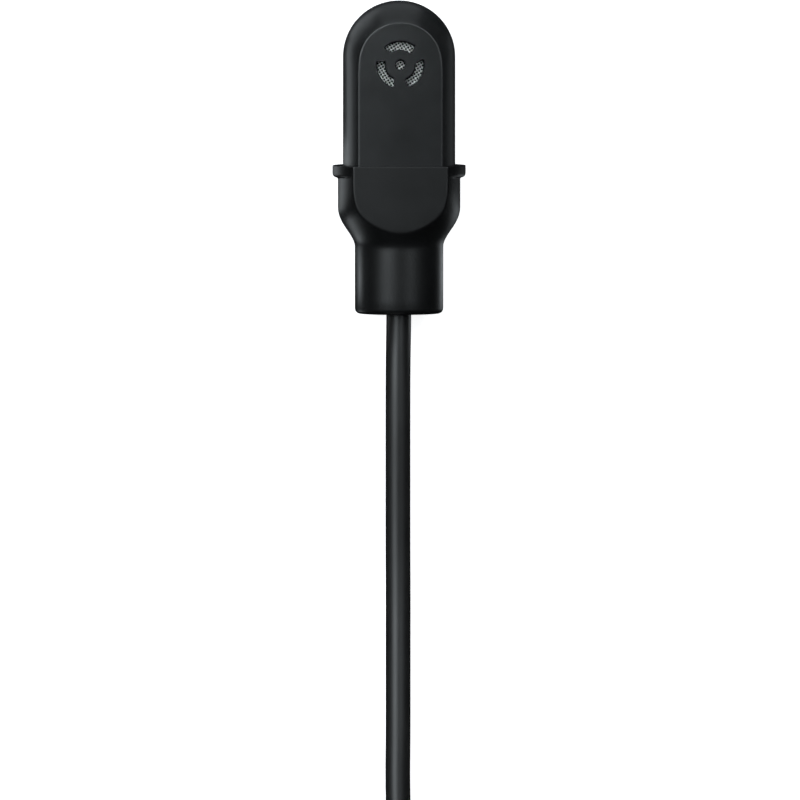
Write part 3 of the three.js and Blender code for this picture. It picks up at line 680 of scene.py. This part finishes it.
def make_boot(material):
    """One skin: up the outside from the neck to the flange, then down the socket and the cable's bore."""
    skin = Skin()
    flat_end = bisect(SHOULDER_FRONT[0], SHOULDER_FRONT[1], lambda y: boot_depth(y) > PAD_DEPTH)
    under_flange = BOOT_TOP - FLANGE_THICKNESS

    def ring(y, inset=0.0):
        return flatted_ring(y, [cup_shape(y, inset)], PAD_DEPTH)

    neck_end = [
        ring(HEAD_END + NECK_EDGE - along, inset) for inset, along in rounded_corner(NECK_EDGE)[::-1]
    ]
    neck = [ring(y) for y in NECK_ROWS]
    span = flat_end - SHOULDER_END
    to_flat = [ring(flat_end - span * (1 - i / 14) ** 1.6) for i in range(1, 14)]
    pad_span = PAD_ROWS_END - flat_end
    up_pad = [ring(flat_end + pad_span * (1 - math.cos(math.radians(a)))) for a in range(0, 91, 5)]

    def flange_ring(y, inset=0.0, flat_inset=0.0):
        rim = (FLANGE[0] - inset, FLANGE[1] - inset)
        return flatted_ring(y, [rim, cup_shape(y, flat_inset)], PAD_DEPTH - flat_inset)

    fillet = [
        flange_ring(under_flange - 0.1 + along, FLANGE_EDGE + inset) for inset, along in FLANGE_FILLET
    ]
    lower = [
        flange_ring(under_flange + FLANGE_EDGE - along, inset)
        for inset, along in rounded_corner(FLANGE_EDGE)[::-1]
    ]
    upper = [flange_ring(BOOT_TOP - 0.12)]
    upper += [
        flange_ring(BOOT_TOP - PAD_EDGE + along, inset, inset)
        for inset, along in rounded_corner(PAD_EDGE, 4)
    ]
    outside = [*neck_end, *neck, *to_flat, *up_pad, *fillet, *lower, *upper]
    socket_end = SPIGOT_END - CLEARANCE
    socket = [round_ring(y, *SOCKET) for y in (BOOT_TOP, socket_end)]
    core = round_ring(socket_end, *BOOT_CORE)
    bore = [round_ring(y, *BOOT_BORE) for y in (BOOT_CORE_END, HEAD_END)]
    skin.bridge([bore[1], *outside, *socket, core, *bore])
    piece = make_piece("boot", skin, material)
    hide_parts("strain_boot")


# ------------------------ woven grille


GRILLE_RADIUS = 1.85
GRILLE_DEPTH = 1.79
GRILLE_PITCH = 0.185
GRILLE_WIRE = 0.042  # the wire's radius
GRILLE_SWING = 0.95  # how many radii a wire rises and falls
GRILLE_TURN = math.radians(32)
# Painted shade over the grille: black rims inside the openings, sagging downwards so that they are widest
# under the upper edges, where the walls' shadow falls
SHADE_RIM_LOW, SHADE_RIM_HIGH = 1.88, 1.96
SHADE_RIM_WIDTH = 0.055
SHADE_RIM_SAG = 0.045


def woven_wire(along, across, lane, phase):
    """The rings of one wire, which passes over and under the wires across it."""
    steps = 5
    half = math.sqrt(max(0, GRILLE_RADIUS ** 2 - (lane * GRILLE_PITCH) ** 2))
    count = int(half / GRILLE_PITCH) * steps
    middle = Vector((0, PORT_Y, AXIS_Z + GRILLE_DEPTH))
    up = Vector((0, 0, 1))
    turns = [math.pi * i / 4 for i in range(8)]
    rings = []
    for i in range(-count, count + 1):
        distance = i * GRILLE_PITCH / steps
        wave = math.cos(math.pi * (i / steps + phase))
        centre = middle + along * distance + across * (lane * GRILLE_PITCH)
        centre.z += GRILLE_WIRE * GRILLE_SWING * wave
        ring = [centre + (across * math.cos(a) + up * math.sin(a)) * GRILLE_WIRE for a in turns]
        rings.append([tuple(p) for p in ring])
    return rings


def make_grille(material):
    """Plain weave of round wires, cut to a disc."""
    skin = Skin()
    reach = int(GRILLE_RADIUS / GRILLE_PITCH)
    for family in (0, 1):
        turn = GRILLE_TURN + family * math.pi / 2
        along = Vector((math.cos(turn), math.sin(turn), 0))
        across = Vector((-along.y, along.x, 0))
        for lane in range(-reach, reach + 1):
            rings = woven_wire(along, across, lane, lane + family)
            if len(rings) > 1:
                skin.tube(rings)
    piece = make_piece("woven_grille", skin, material, 60)
    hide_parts("grille_mesh")


def make_port_shade_rims(material):
    """Painted shade: a black rim just over the grille inside each opening, widest under the openings' upper
    edges, where it stands in for the shadow that their walls cast on the grille.
    """
    skin = Skin()
    for outside, inside in zip(port_outlines(0), port_outlines(-SHADE_RIM_WIDTH)):
        outer, upper = raised(outside, SHADE_RIM_LOW), raised(outside, SHADE_RIM_HIGH)
        inner = moved(raised(inside, SHADE_RIM_LOW), (0, -SHADE_RIM_SAG, 0))
        skin.bridge([outer, upper, inner, outer])
    piece = make_piece("port_shade_rims", skin, material)


# ------------------------ cable

# From inside the boot down to the floor, along it, and round the bend into the hank
RUN_ROUTE = [
    (0, -4.9, AXIS_Z), (0, -8, AXIS_Z), (-0.02, -10.5, AXIS_Z), (-0.06, -13.5, 2.46), (-0.06, -17, 2.15),
    (-0.04, -21, 1.6), (-0.02, -25, 1.1), (0, -28.5, 0.86), (0, -32, CORD_REST), (0, -37, CORD_REST),
    (0, -42, CORD_REST), (0.1, -44, CORD_REST), (0.8, -46.4, CORD_REST),
]
ENTRY_BEND = [
    (1.9, -47.6, CORD_REST), (4.0, -49.0, CORD_REST), (6.1, -50.5, CORD_REST), (7.5, -52.6, CORD_REST),
    (8.0, -55.0, CORD_REST),
]
# Across the top of the hank and down into the connector
EXIT_BEND = [(7.2, -87.5, 7.75), (6.8, -90.0, 7.78), (5.4, -92.2, 7.8), (3.6, -93.6, 7.8)]
TAIL_ROUTE = [
    (1.2, -95.9, 7.72), (0.35, -97.7, 7.35), (0, -100, 6.5), (0, -102.2, 5.75), (0, -104.5, PLUG_Z),
    (0, -110, PLUG_Z), (0, -120.3, PLUG_Z),
]
# Where the turns lie, from the first to the last: lanes out from the innermost, in layers from the floor up
THREE_IN = (2, 1, 0)
TWO_OUT = (0.5, 1.5)
LANES = [(lane, layer) for layer in range(6) for lane in (TWO_OUT if layer % 2 else THREE_IN)]
LAYER_RISE = 2 * CORD_RADIUS * math.sqrt(0.75)


def lane_place(lane, layer):
    """A turn's fold radius and height."""
    return FOLD_INNER + 2 * CORD_RADIUS * lane, CORD_REST + LAYER_RISE * layer


def pinch(distance):
    """How far the waist draws the runs in, at a distance from the middle."""
    return WAIST_PINCH * (1 + math.cos(2 * math.pi * distance / HANK_RUN)) / 2


def run_point(side, radius, height, distance):
    """A point on a straight run. The turns keep their spacing where the waist draws them in."""
    slope = WAIST_PINCH * math.pi / HANK_RUN * math.sin(2 * math.pi * distance / HANK_RUN)
    inner = FOLD_INNER - pinch(distance)
    across = Vector((1, -slope)).normalized()
    offset = radius - FOLD_INNER
    x = inner + across.x * offset
    y = FOLD_NEAR - HANK_RUN / 2 + distance + across.y * offset
    lift = WAIST_LIFT * pinch(distance) / WAIST_PINCH
    return (side * x, y, height + lift)


def hank_points():
    """Every turn: down the right run, round the far fold, up the left run, and round the near fold, where
    the cable changes lane."""
    points = []
    stations = [HANK_RUN * (0.5 - i / 6) for i in range(7)]
    far = FOLD_NEAR - HANK_RUN
    for k, (lane, layer) in enumerate(LANES):
        radius, height = lane_place(lane, layer)
        points += [run_point(1, radius, height, d) for d in stations]
        if k + 1 == len(LANES):
            break
        for i in range(1, 5):
            a = math.pi * i / 5
            points.append((radius * math.cos(a), far - radius * math.sin(a), height))
        points += [run_point(-1, radius, height, d) for d in stations[::-1]]
        next_radius, next_height = lane_place(*LANES[k + 1])
        for i in range(1, 5):
            t = i / 5
            share = t * t * (3 - 2 * t)
            r = radius + (next_radius - radius) * share
            z = height + (next_height - height) * share
            a = math.pi * (1 - t)
            points.append((r * math.cos(a), FOLD_NEAR + r * math.sin(a), z))
    return points


def make_cable(material):
    route = [*RUN_ROUTE, *ENTRY_BEND, *hank_points(), *EXIT_BEND, *TAIL_ROUTE]
    data = bpy.data.curves.new("cable", "CURVE")
    data.dimensions = "3D"
    spline = data.splines.new("BEZIER")
    spline.bezier_points.add(len(route) - 1)
    for knot, place in zip(spline.bezier_points, route):
        knot.co = Vector(place) * MM
        knot.handle_left_type = knot.handle_right_type = "AUTO"
    spline.resolution_u = 6
    data.bevel_depth = CORD_RADIUS * FACET_ALLOWANCE * MM
    data.bevel_resolution = 5
    data.use_fill_caps = True
    data.materials.append(material)
    cable = bpy.data.objects.new("cable", data)
    bpy.context.scene.collection.objects.link(cable)
    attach(cable, BODY)
    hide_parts("cable_run", "cable_hank", "cable_tail")
    return cable


# ------------------------ cable tie

TIE_MIDDLE = (TIE_LOW.y + TIE_HIGH.y) / 2
TIE_HALF_WIDTH = (TIE_HIGH.y - TIE_LOW.y) / 2
TIE_INSET = 0.25  # from the CAD tie's outside to the band's middle
TIE_BAND = 0.42
TIE_CORNER = 1.25
TIE_END_X = 3.0
TIE_FLAP_X = -3.3


def tie_lap():
    """One lap round the bundle, from the top at TIE_END_X towards -X."""
    half = TIE_HIGH.x - TIE_INSET
    low, high = TIE_INSET, TIE_HIGH.z - TIE_INSET
    corner = TIE_CORNER
    above, below = high - corner, low + corner
    centres = ((-1, above, 90), (-1, below, 180), (1, below, 270), (1, above, 0))
    lap = [(TIE_END_X, high), (0.0, high)]
    for side, z, start in centres:
        for i in range(9):
            a = math.radians(start + i * 90 / 8)
            lap.append((side * (half - corner) + corner * math.cos(a), z + corner * math.sin(a)))
        if start == 180:
            lap += [(half * share, low) for share in (-0.4, 0, 0.4)]
    return lap


def tie_section(width, thickness):
    """A flat section with rounded edges: distance out, and along Y."""
    edge = thickness * 0.45
    points = []
    for out, along, start in ((1, 1, 0), (-1, 1, 90), (-1, -1, 180), (1, -1, 270)):
        for i in range(4):
            a = math.radians(start + i * 30)
            points.append((
                out * (thickness - edge) + edge * math.cos(a),
                along * (width - edge) + edge * math.sin(a),
            ))
    return points


def make_tie(material, thread):
    """A fabric wrap: one lap round the hank, and its flap pressed down over the start."""
    path = tie_lap()
    top = path[0][1]
    rise = TIE_BAND + 0.03
    steps = 16
    start = TIE_HIGH.x - TIE_INSET - TIE_CORNER
    for i in range(1, steps + 1):
        x = start + (TIE_FLAP_X - start) * i / steps
        share = min(1, max(0, (start - x) / (start - TIE_END_X - 0.15)))
        path.append((x, top + rise * share * share * (3 - 2 * share)))
    skin = Skin()
    rings = []
    for i, (x, z) in enumerate(path):
        before, after = path[max(0, i - 1)], path[min(len(path) - 1, i + 1)]
        tangent = Vector((after[0] - before[0], after[1] - before[1])).normalized()
        normal = Vector((-tangent.y, tangent.x))
        waver = 0.05 * math.sin(i * 0.9)
        taper = 0.93 if i in (0, len(path) - 1) else 1.0
        section = tie_section(TIE_HALF_WIDTH * taper - 0.06 + waver, TIE_BAND / 2)
        rings.append([(x - normal.x * out, TIE_MIDDLE + y, z - normal.y * out) for out, y in section])
    skin.tube(rings)
    band = make_piece("tie_band", skin, material, 50)
    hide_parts("cable_tie")

    stitches = Skin()
    flap_top = top + rise + TIE_BAND / 2
    for row in (0.45, 0.95):
        for i in range(-4, 5):
            stitches.tube(stitch_rings(TIE_FLAP_X + row, TIE_MIDDLE + i * 0.5, flap_top))
    sewn = make_piece("tie_stitching", stitches, thread, 60)


# How far along, how high and how thick a stitch is, from its one sunk end to the other
STITCH = ((-0.2, -0.05, 0.03), (-0.14, 0.01, 0.06), (0, 0.03, 0.07), (0.14, 0.01, 0.06), (0.2, -0.05, 0.03))


def stitch_rings(x, y, z):
    """A short thread along Y, sunk at its ends."""
    turns = [math.pi * i / 4 for i in range(8)]
    rings = []
    for along, height, radius in STITCH:
        ring = [(radius * math.cos(a), along, height + radius * math.sin(a)) for a in turns]
        rings.append(moved(ring, (x, y, z)))
    return rings


# ------------------------ connector

PLUG_PLACE = (0, NOSE_Y, PLUG_Z)  # the connector's sizes are all from here
PINHOLE = 0.01  # an outline that is turned about the axis starts this far from it
NOSE_RADIUS = 4.7
NOSE_BORE = 4.2
BARREL_START = 8.0
BARREL_END = 19.0
GRIP_GROOVES = (15.9, 16.7, 17.5)
GROOVE_DEPTH = 0.18
SEAT_RADIUS = 4.95
SEAT_BORE = 4.45
SEAT_START = 13.2
SHELL_END = 22.6
SHELL_EDGE = 0.12
WINDOW = (1.75, 8.9, 15.1)  # half its width, and where it starts and ends
SLOT = (0.95, 2.6, 9.4)
WALL_CUT = (3.5, 7)  # from inside the wall to past the barrel
SCREW_PLACE = (0, NOSE_Y + 11.5, PLUG_Z)
CONTACT_OFFSET = 1.556
INSERT_RADIUS = 4.1
INSERT_END = 13.0
INSERT_FLAT = 3.05
BUTTON_TOP = 5.95
BUTTON_BOTTOM = 4.05
BUTTON_START = 9.05
BUTTON_END = 14.95
BUTTON_RIBS = (13.6, 12.6, 11.6, 10.6)
NUT_RADIUS = 5.5
NUT_BORE = 5.0
NUT_ROWS = (19.1, 19.6, 20.0, 20.02, 23.78, 23.8, 24.3)
NUT_MOUTH = 3.1
FLUTES = 20
FLUTE_BAND = (19.9, 23.9)
FLUTE_DEPTH = 0.2
FLUTE_HALF = 0.24  # half a flute's width, as a share of the flutes' spacing
SLEEVE_BORE = 0.86
SLEEVE_GROOVE = 0.48


def softened(profile, cut, steps=3):
    """A closed outline with its corners rounded."""
    points = []
    for i, corner in enumerate(profile):
        ends = []
        for other in (profile[i - 1], profile[(i + 1) % len(profile)]):
            gap = math.dist(corner, other)
            share = min(cut, 0.42 * gap) / gap
            ends.append([c + (o - c) * share for c, o in zip(corner, other)])
        for k in range(steps + 1):
            t = k / steps
            weights = ((1 - t) ** 2, 2 * t * (1 - t), t * t)
            points.append(tuple(
                sum(w * p[axis] for w, p in zip(weights, (ends[0], corner, ends[1]))) for axis in (0, 1)
            ))
    return points


def turned(profile, count=96, place=PLUG_PLACE, shape=None):
    """A closed outline of radius and y, turned about the Y axis. shape may change the radius with the
    angle."""
    skin = Skin()
    rings = []
    for radius, y in profile:
        ring = []
        for i in range(count):
            a = 2 * math.pi * (i + 0.5) / count
            r = shape(radius, y, a) if shape else radius
            ring.append((r * math.cos(a), y, r * math.sin(a)))
        rings.append(moved(ring, place))
    skin.bridge([*rings, rings[0]])
    return skin


def rod(radius, low, high, place, axis="Y"):
    skin = Skin()
    turns = [math.pi * i / 16 for i in range(32)]
    rings = []
    for along in (low, high):
        if axis == "Y":
            ring = [(radius * math.cos(a), along, radius * math.sin(a)) for a in turns]
        else:
            ring = [(along, radius * math.cos(a), radius * math.sin(a)) for a in turns]
        rings.append(moved(ring, place))
    skin.tube(rings)
    return skin


def block(low, high, corner=0.0, place=PLUG_PLACE):
    """A block along Z whose upright edges are rounded."""
    skin = Skin()
    outline = [(low[0], low[1]), (high[0], low[1]), (high[0], high[1]), (low[0], high[1])]
    if corner:
        outline = softened(outline, corner, 5)
    skin.tube([moved([(x, y, z) for x, y in outline], place) for z in (low[2], high[2])])
    return skin


def extruded(outline, half_width, place=PLUG_PLACE):
    """An outline in y and z, across X."""
    skin = Skin()
    skin.tube([moved([(x, y, z) for y, z in outline], place) for x in (-half_width, half_width)])
    return skin


def make_shell(material):
    """The metal tube: a nose, a grooved barrel and a seat for the nut, cut for the latch and the screw."""
    profile = [(NOSE_BORE, 0), (NOSE_RADIUS, 0), (NOSE_RADIUS, BARREL_START), (BARREL_RADIUS, BARREL_START)]
    groove = BARREL_RADIUS - GROOVE_DEPTH
    for y in GRIP_GROOVES:
        profile += [(BARREL_RADIUS, y), (groove, y + 0.08), (groove, y + 0.3), (BARREL_RADIUS, y + 0.38)]
    profile += [
        (BARREL_RADIUS, BARREL_END), (SEAT_RADIUS, BARREL_END), (SEAT_RADIUS, SHELL_END),
        (SEAT_BORE, SHELL_END), (SEAT_BORE, SEAT_START), (NOSE_BORE, SEAT_START),
    ]
    piece = make_piece("plug_shell", turned(softened(profile, SHELL_EDGE)), material)
    low, high = WALL_CUT
    window = block((-WINDOW[0], WINDOW[1], low), (WINDOW[0], WINDOW[2], high), 0.45)
    slot = block((-SLOT[0], SLOT[1], low), (SLOT[0], SLOT[2], high), 0.4)
    screw_hole = rod(0.8, low, high, SCREW_PLACE, axis="X")
    combine(piece, "DIFFERENCE", window, slot, screw_hole)
    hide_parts("connector_shell")


def contact_places():
    corners = ((1, 1), (-1, 1), (-1, -1), (1, -1))
    return [(x * CONTACT_OFFSET, NOSE_Y, z * CONTACT_OFFSET + PLUG_Z) for x, z in corners]


def make_insert(material):
    """The insulator: a recessed face round four contacts, and a flat that clears the latch."""
    profile = [(PINHOLE, 0.9), (3.0, 0.9), (3.25, 0.6), (INSERT_RADIUS, 0.6), (INSERT_RADIUS, INSERT_END),
               (PINHOLE, INSERT_END)]
    piece = make_piece("plug_insert", turned(softened(profile, 0.08)), material)
    holes = [rod(0.8, -1, 20, place) for place in contact_places()]
    room = block((-9, -1, INSERT_FLAT), (9, 20, 9))
    combine(piece, "DIFFERENCE", *holes, room)
    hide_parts("connector_insert")


def make_contacts(material):
    """Sockets with a chamfered mouth and a blind bore."""
    profile = [(0.5, 0.95), (0.62, 0.7), (0.68, 0.7), (0.75, 0.85), (0.75, 11.5), (PINHOLE, 11.5),
               (PINHOLE, 6.7), (0.5, 6.7)]
    names = []
    for i, place in enumerate(contact_places(), 1):
        skin = turned(softened(profile, 0.05, 2), 32, place)
        piece = make_piece(f"plug_contact_{i}", skin, material)
        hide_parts(f"contact_{i}")
        names.append(piece.name)
    return names


def make_latch(material):
    """The release button with its ribs, and the hooked arm that runs to the nose."""
    low, high = BUTTON_BOTTOM, BUTTON_TOP
    top = [(BUTTON_END, high - 0.5), (14.6, high - 0.12), (14.1, high)]
    for y in BUTTON_RIBS:
        top += [(y + 0.2, high), (y + 0.1, high - 0.14), (y - 0.1, high - 0.14), (y - 0.2, high)]
    top += [(9.9, high), (9.4, high - 0.12), (BUTTON_START, high - 0.5)]
    outline = [(BUTTON_START, low), (BUTTON_END, low), *top]
    piece = make_piece("release_button", extruded(outline, 1.6), material, body=LATCH)
    arm_top = low + 0.45
    arm = [(2.9, low), (9.5, low), (9.5, arm_top), (4.2, arm_top), (4.2, low + 1.05), (3.95, low + 1.1),
           (2.9, arm_top)]
    combine(piece, "UNION", extruded(arm, 0.8))
    edge = math.radians(SMOOTH_ANGLE)
    add_modifier(piece, "BEVEL", width=0.07 * MM, segments=2, limit_method="ANGLE", angle_limit=edge)
    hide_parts("latch_button")


def make_leaf_spring(material):
    """An arched leaf on the insert's flat."""
    low, high = cad_box("latch_spring")
    middle, half = (low.y + high.y) / 2, (high.y - low.y) / 2
    thickness = 0.12
    rise = high.z - low.z - thickness
    steps = 24
    under = []
    for i in range(steps + 1):
        u = 2 * i / steps - 1
        under.append((middle + half * u, low.z + rise * (1 - u * u)))
    over = [(y, z + thickness) for y, z in under[::-1]]
    piece = make_piece("leaf_spring", extruded([*under, *over], high.x, (0, 0, 0)), material)
    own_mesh(piece)
    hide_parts("latch_spring")


def make_screw(material):
    """A small grub screw in the barrel's side, with a hexagon socket."""
    count = 48
    skin = Skin()

    def ring(radius, along, corners=0):
        points = []
        for i in range(count):
            a = 2 * math.pi * i / count
            r = radius
            if corners:
                part = (a + math.pi / corners) % (2 * math.pi / corners) - math.pi / corners
                r = radius * math.cos(math.pi / corners) / math.cos(part)
            points.append((along, r * math.cos(a), r * math.sin(a)))
        return moved(points, SCREW_PLACE)

    socket = 0.38
    steps = [ring(PINHOLE, 4.14), ring(0.75, 4.14), ring(0.75, 5.3), ring(0.68, 5.4),
             ring(socket + 0.06, 5.4), ring(socket, 5.34, 6), ring(socket, 4.9, 6), ring(PINHOLE, 4.85)]
    skin.bridge([*steps, steps[0]])
    piece = make_piece("grub_screw", skin, material)
    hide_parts("insert_screw")


def make_rear_nut(material):
    """The coupling nut at the cable end, with grip flutes along it."""
    def fluted(radius, y, angle):
        in_band = radius > NUT_RADIUS - 0.1 and FLUTE_BAND[0] < y < FLUTE_BAND[1]
        part = abs((angle * FLUTES / (2 * math.pi)) % 1 - 0.5)
        depth = FLUTE_DEPTH * max(0, 1 - (part / FLUTE_HALF) ** 2)
        return radius - (depth if in_band else 0)

    outer = [(NUT_RADIUS, y) for y in NUT_ROWS]
    inner = [(NUT_BORE, 24.8), (NUT_MOUTH, 24.8), (NUT_MOUTH, 23.7), (NUT_BORE, 23.7)]
    profile = softened([(NUT_BORE, NUT_ROWS[0]), *outer, *inner], 0.1, 2)
    piece = make_piece("coupling_nut", turned(profile, FLUTES * 12, shape=fluted), material)
    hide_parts("rear_nut")


def make_plug_boot(material):
    """The soft sleeve behind the connector: rings that step down to the cable."""
    start, end, rings = 24.9, 36.0, 6
    pitch = (end - start) / rings
    profile = [(SLEEVE_BORE, 22.7), (4.4, 22.7), (4.4, 23.6), (3.0, 23.6), (3.0, start)]
    for i in range(rings):
        y = start + i * pitch
        radius = 3.7 - i * 2.0 / (rings - 1)
        waist = radius - SLEEVE_GROOVE
        profile += [(radius, y + 0.02), (radius - 0.08, y + 0.72 * pitch), (waist, y + 0.78 * pitch),
                    (waist, y + pitch)]
    profile.append((SLEEVE_BORE, end))
    piece = make_piece("plug_boot", turned(softened(profile, 0.14), 72), material)
    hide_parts("connector_boot")


def make_connector(materials):
    make_shell(materials["anodised"])
    make_insert(materials["insert"])
    make_latch(materials["nickel"])
    make_leaf_spring(materials["nickel"])
    make_screw(materials["nickel"])
    make_rear_nut(materials["anodised"])
    make_plug_boot(materials["boot"])
    return make_contacts(materials["gold"])


# ------------------------ build


def give(material, *nodes):
    """CAD solids that keep their shape and get this material."""
    for node in nodes:
        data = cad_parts[node].data
        data.materials.clear()
        data.materials.append(material)


def main():
    materials = make_materials()
    make_camera()
    cable = make_cable(materials["jacket"])
    make_world()
    make_floor()
    make_lights()
    make_housing(materials["housing"])
    make_boot(materials["boot"])
    make_grille(materials["steel"])
    make_port_shade_rims(materials["edge"])
    make_tie(materials["tie"], materials["thread"])
    contacts = make_connector(materials)
    give(materials["boot"], "shell_seal")
    give(materials["insert"], "capsule_carrier", "fet_chip", "cable_clamp")
    give(materials["nickel"], "crimp_ferrule", "capsule_can", "diaphragm_ring", "contact_ring")
    give(materials["gold"], "backplate")
    give(materials["foam"], "backing_pad", "membrane_gasket")
    give(materials["insulator"], "wire_grommet", "spacer_washer", "backplate_holder", "insulating_sleeve")
    give(materials["cloth"], "windscreen_membrane")
    give(materials["film"], "diaphragm")
    give(materials["board"], "capsule_board")
    give(materials["red"], "signal_wire", "lead_1")
    give(materials["blue"], "bias_wire", "lead_2")
    give(materials["copper"], "shield_wire", "lead_3")
    bpy.context.scene.view_settings.view_transform = "Standard"


main()
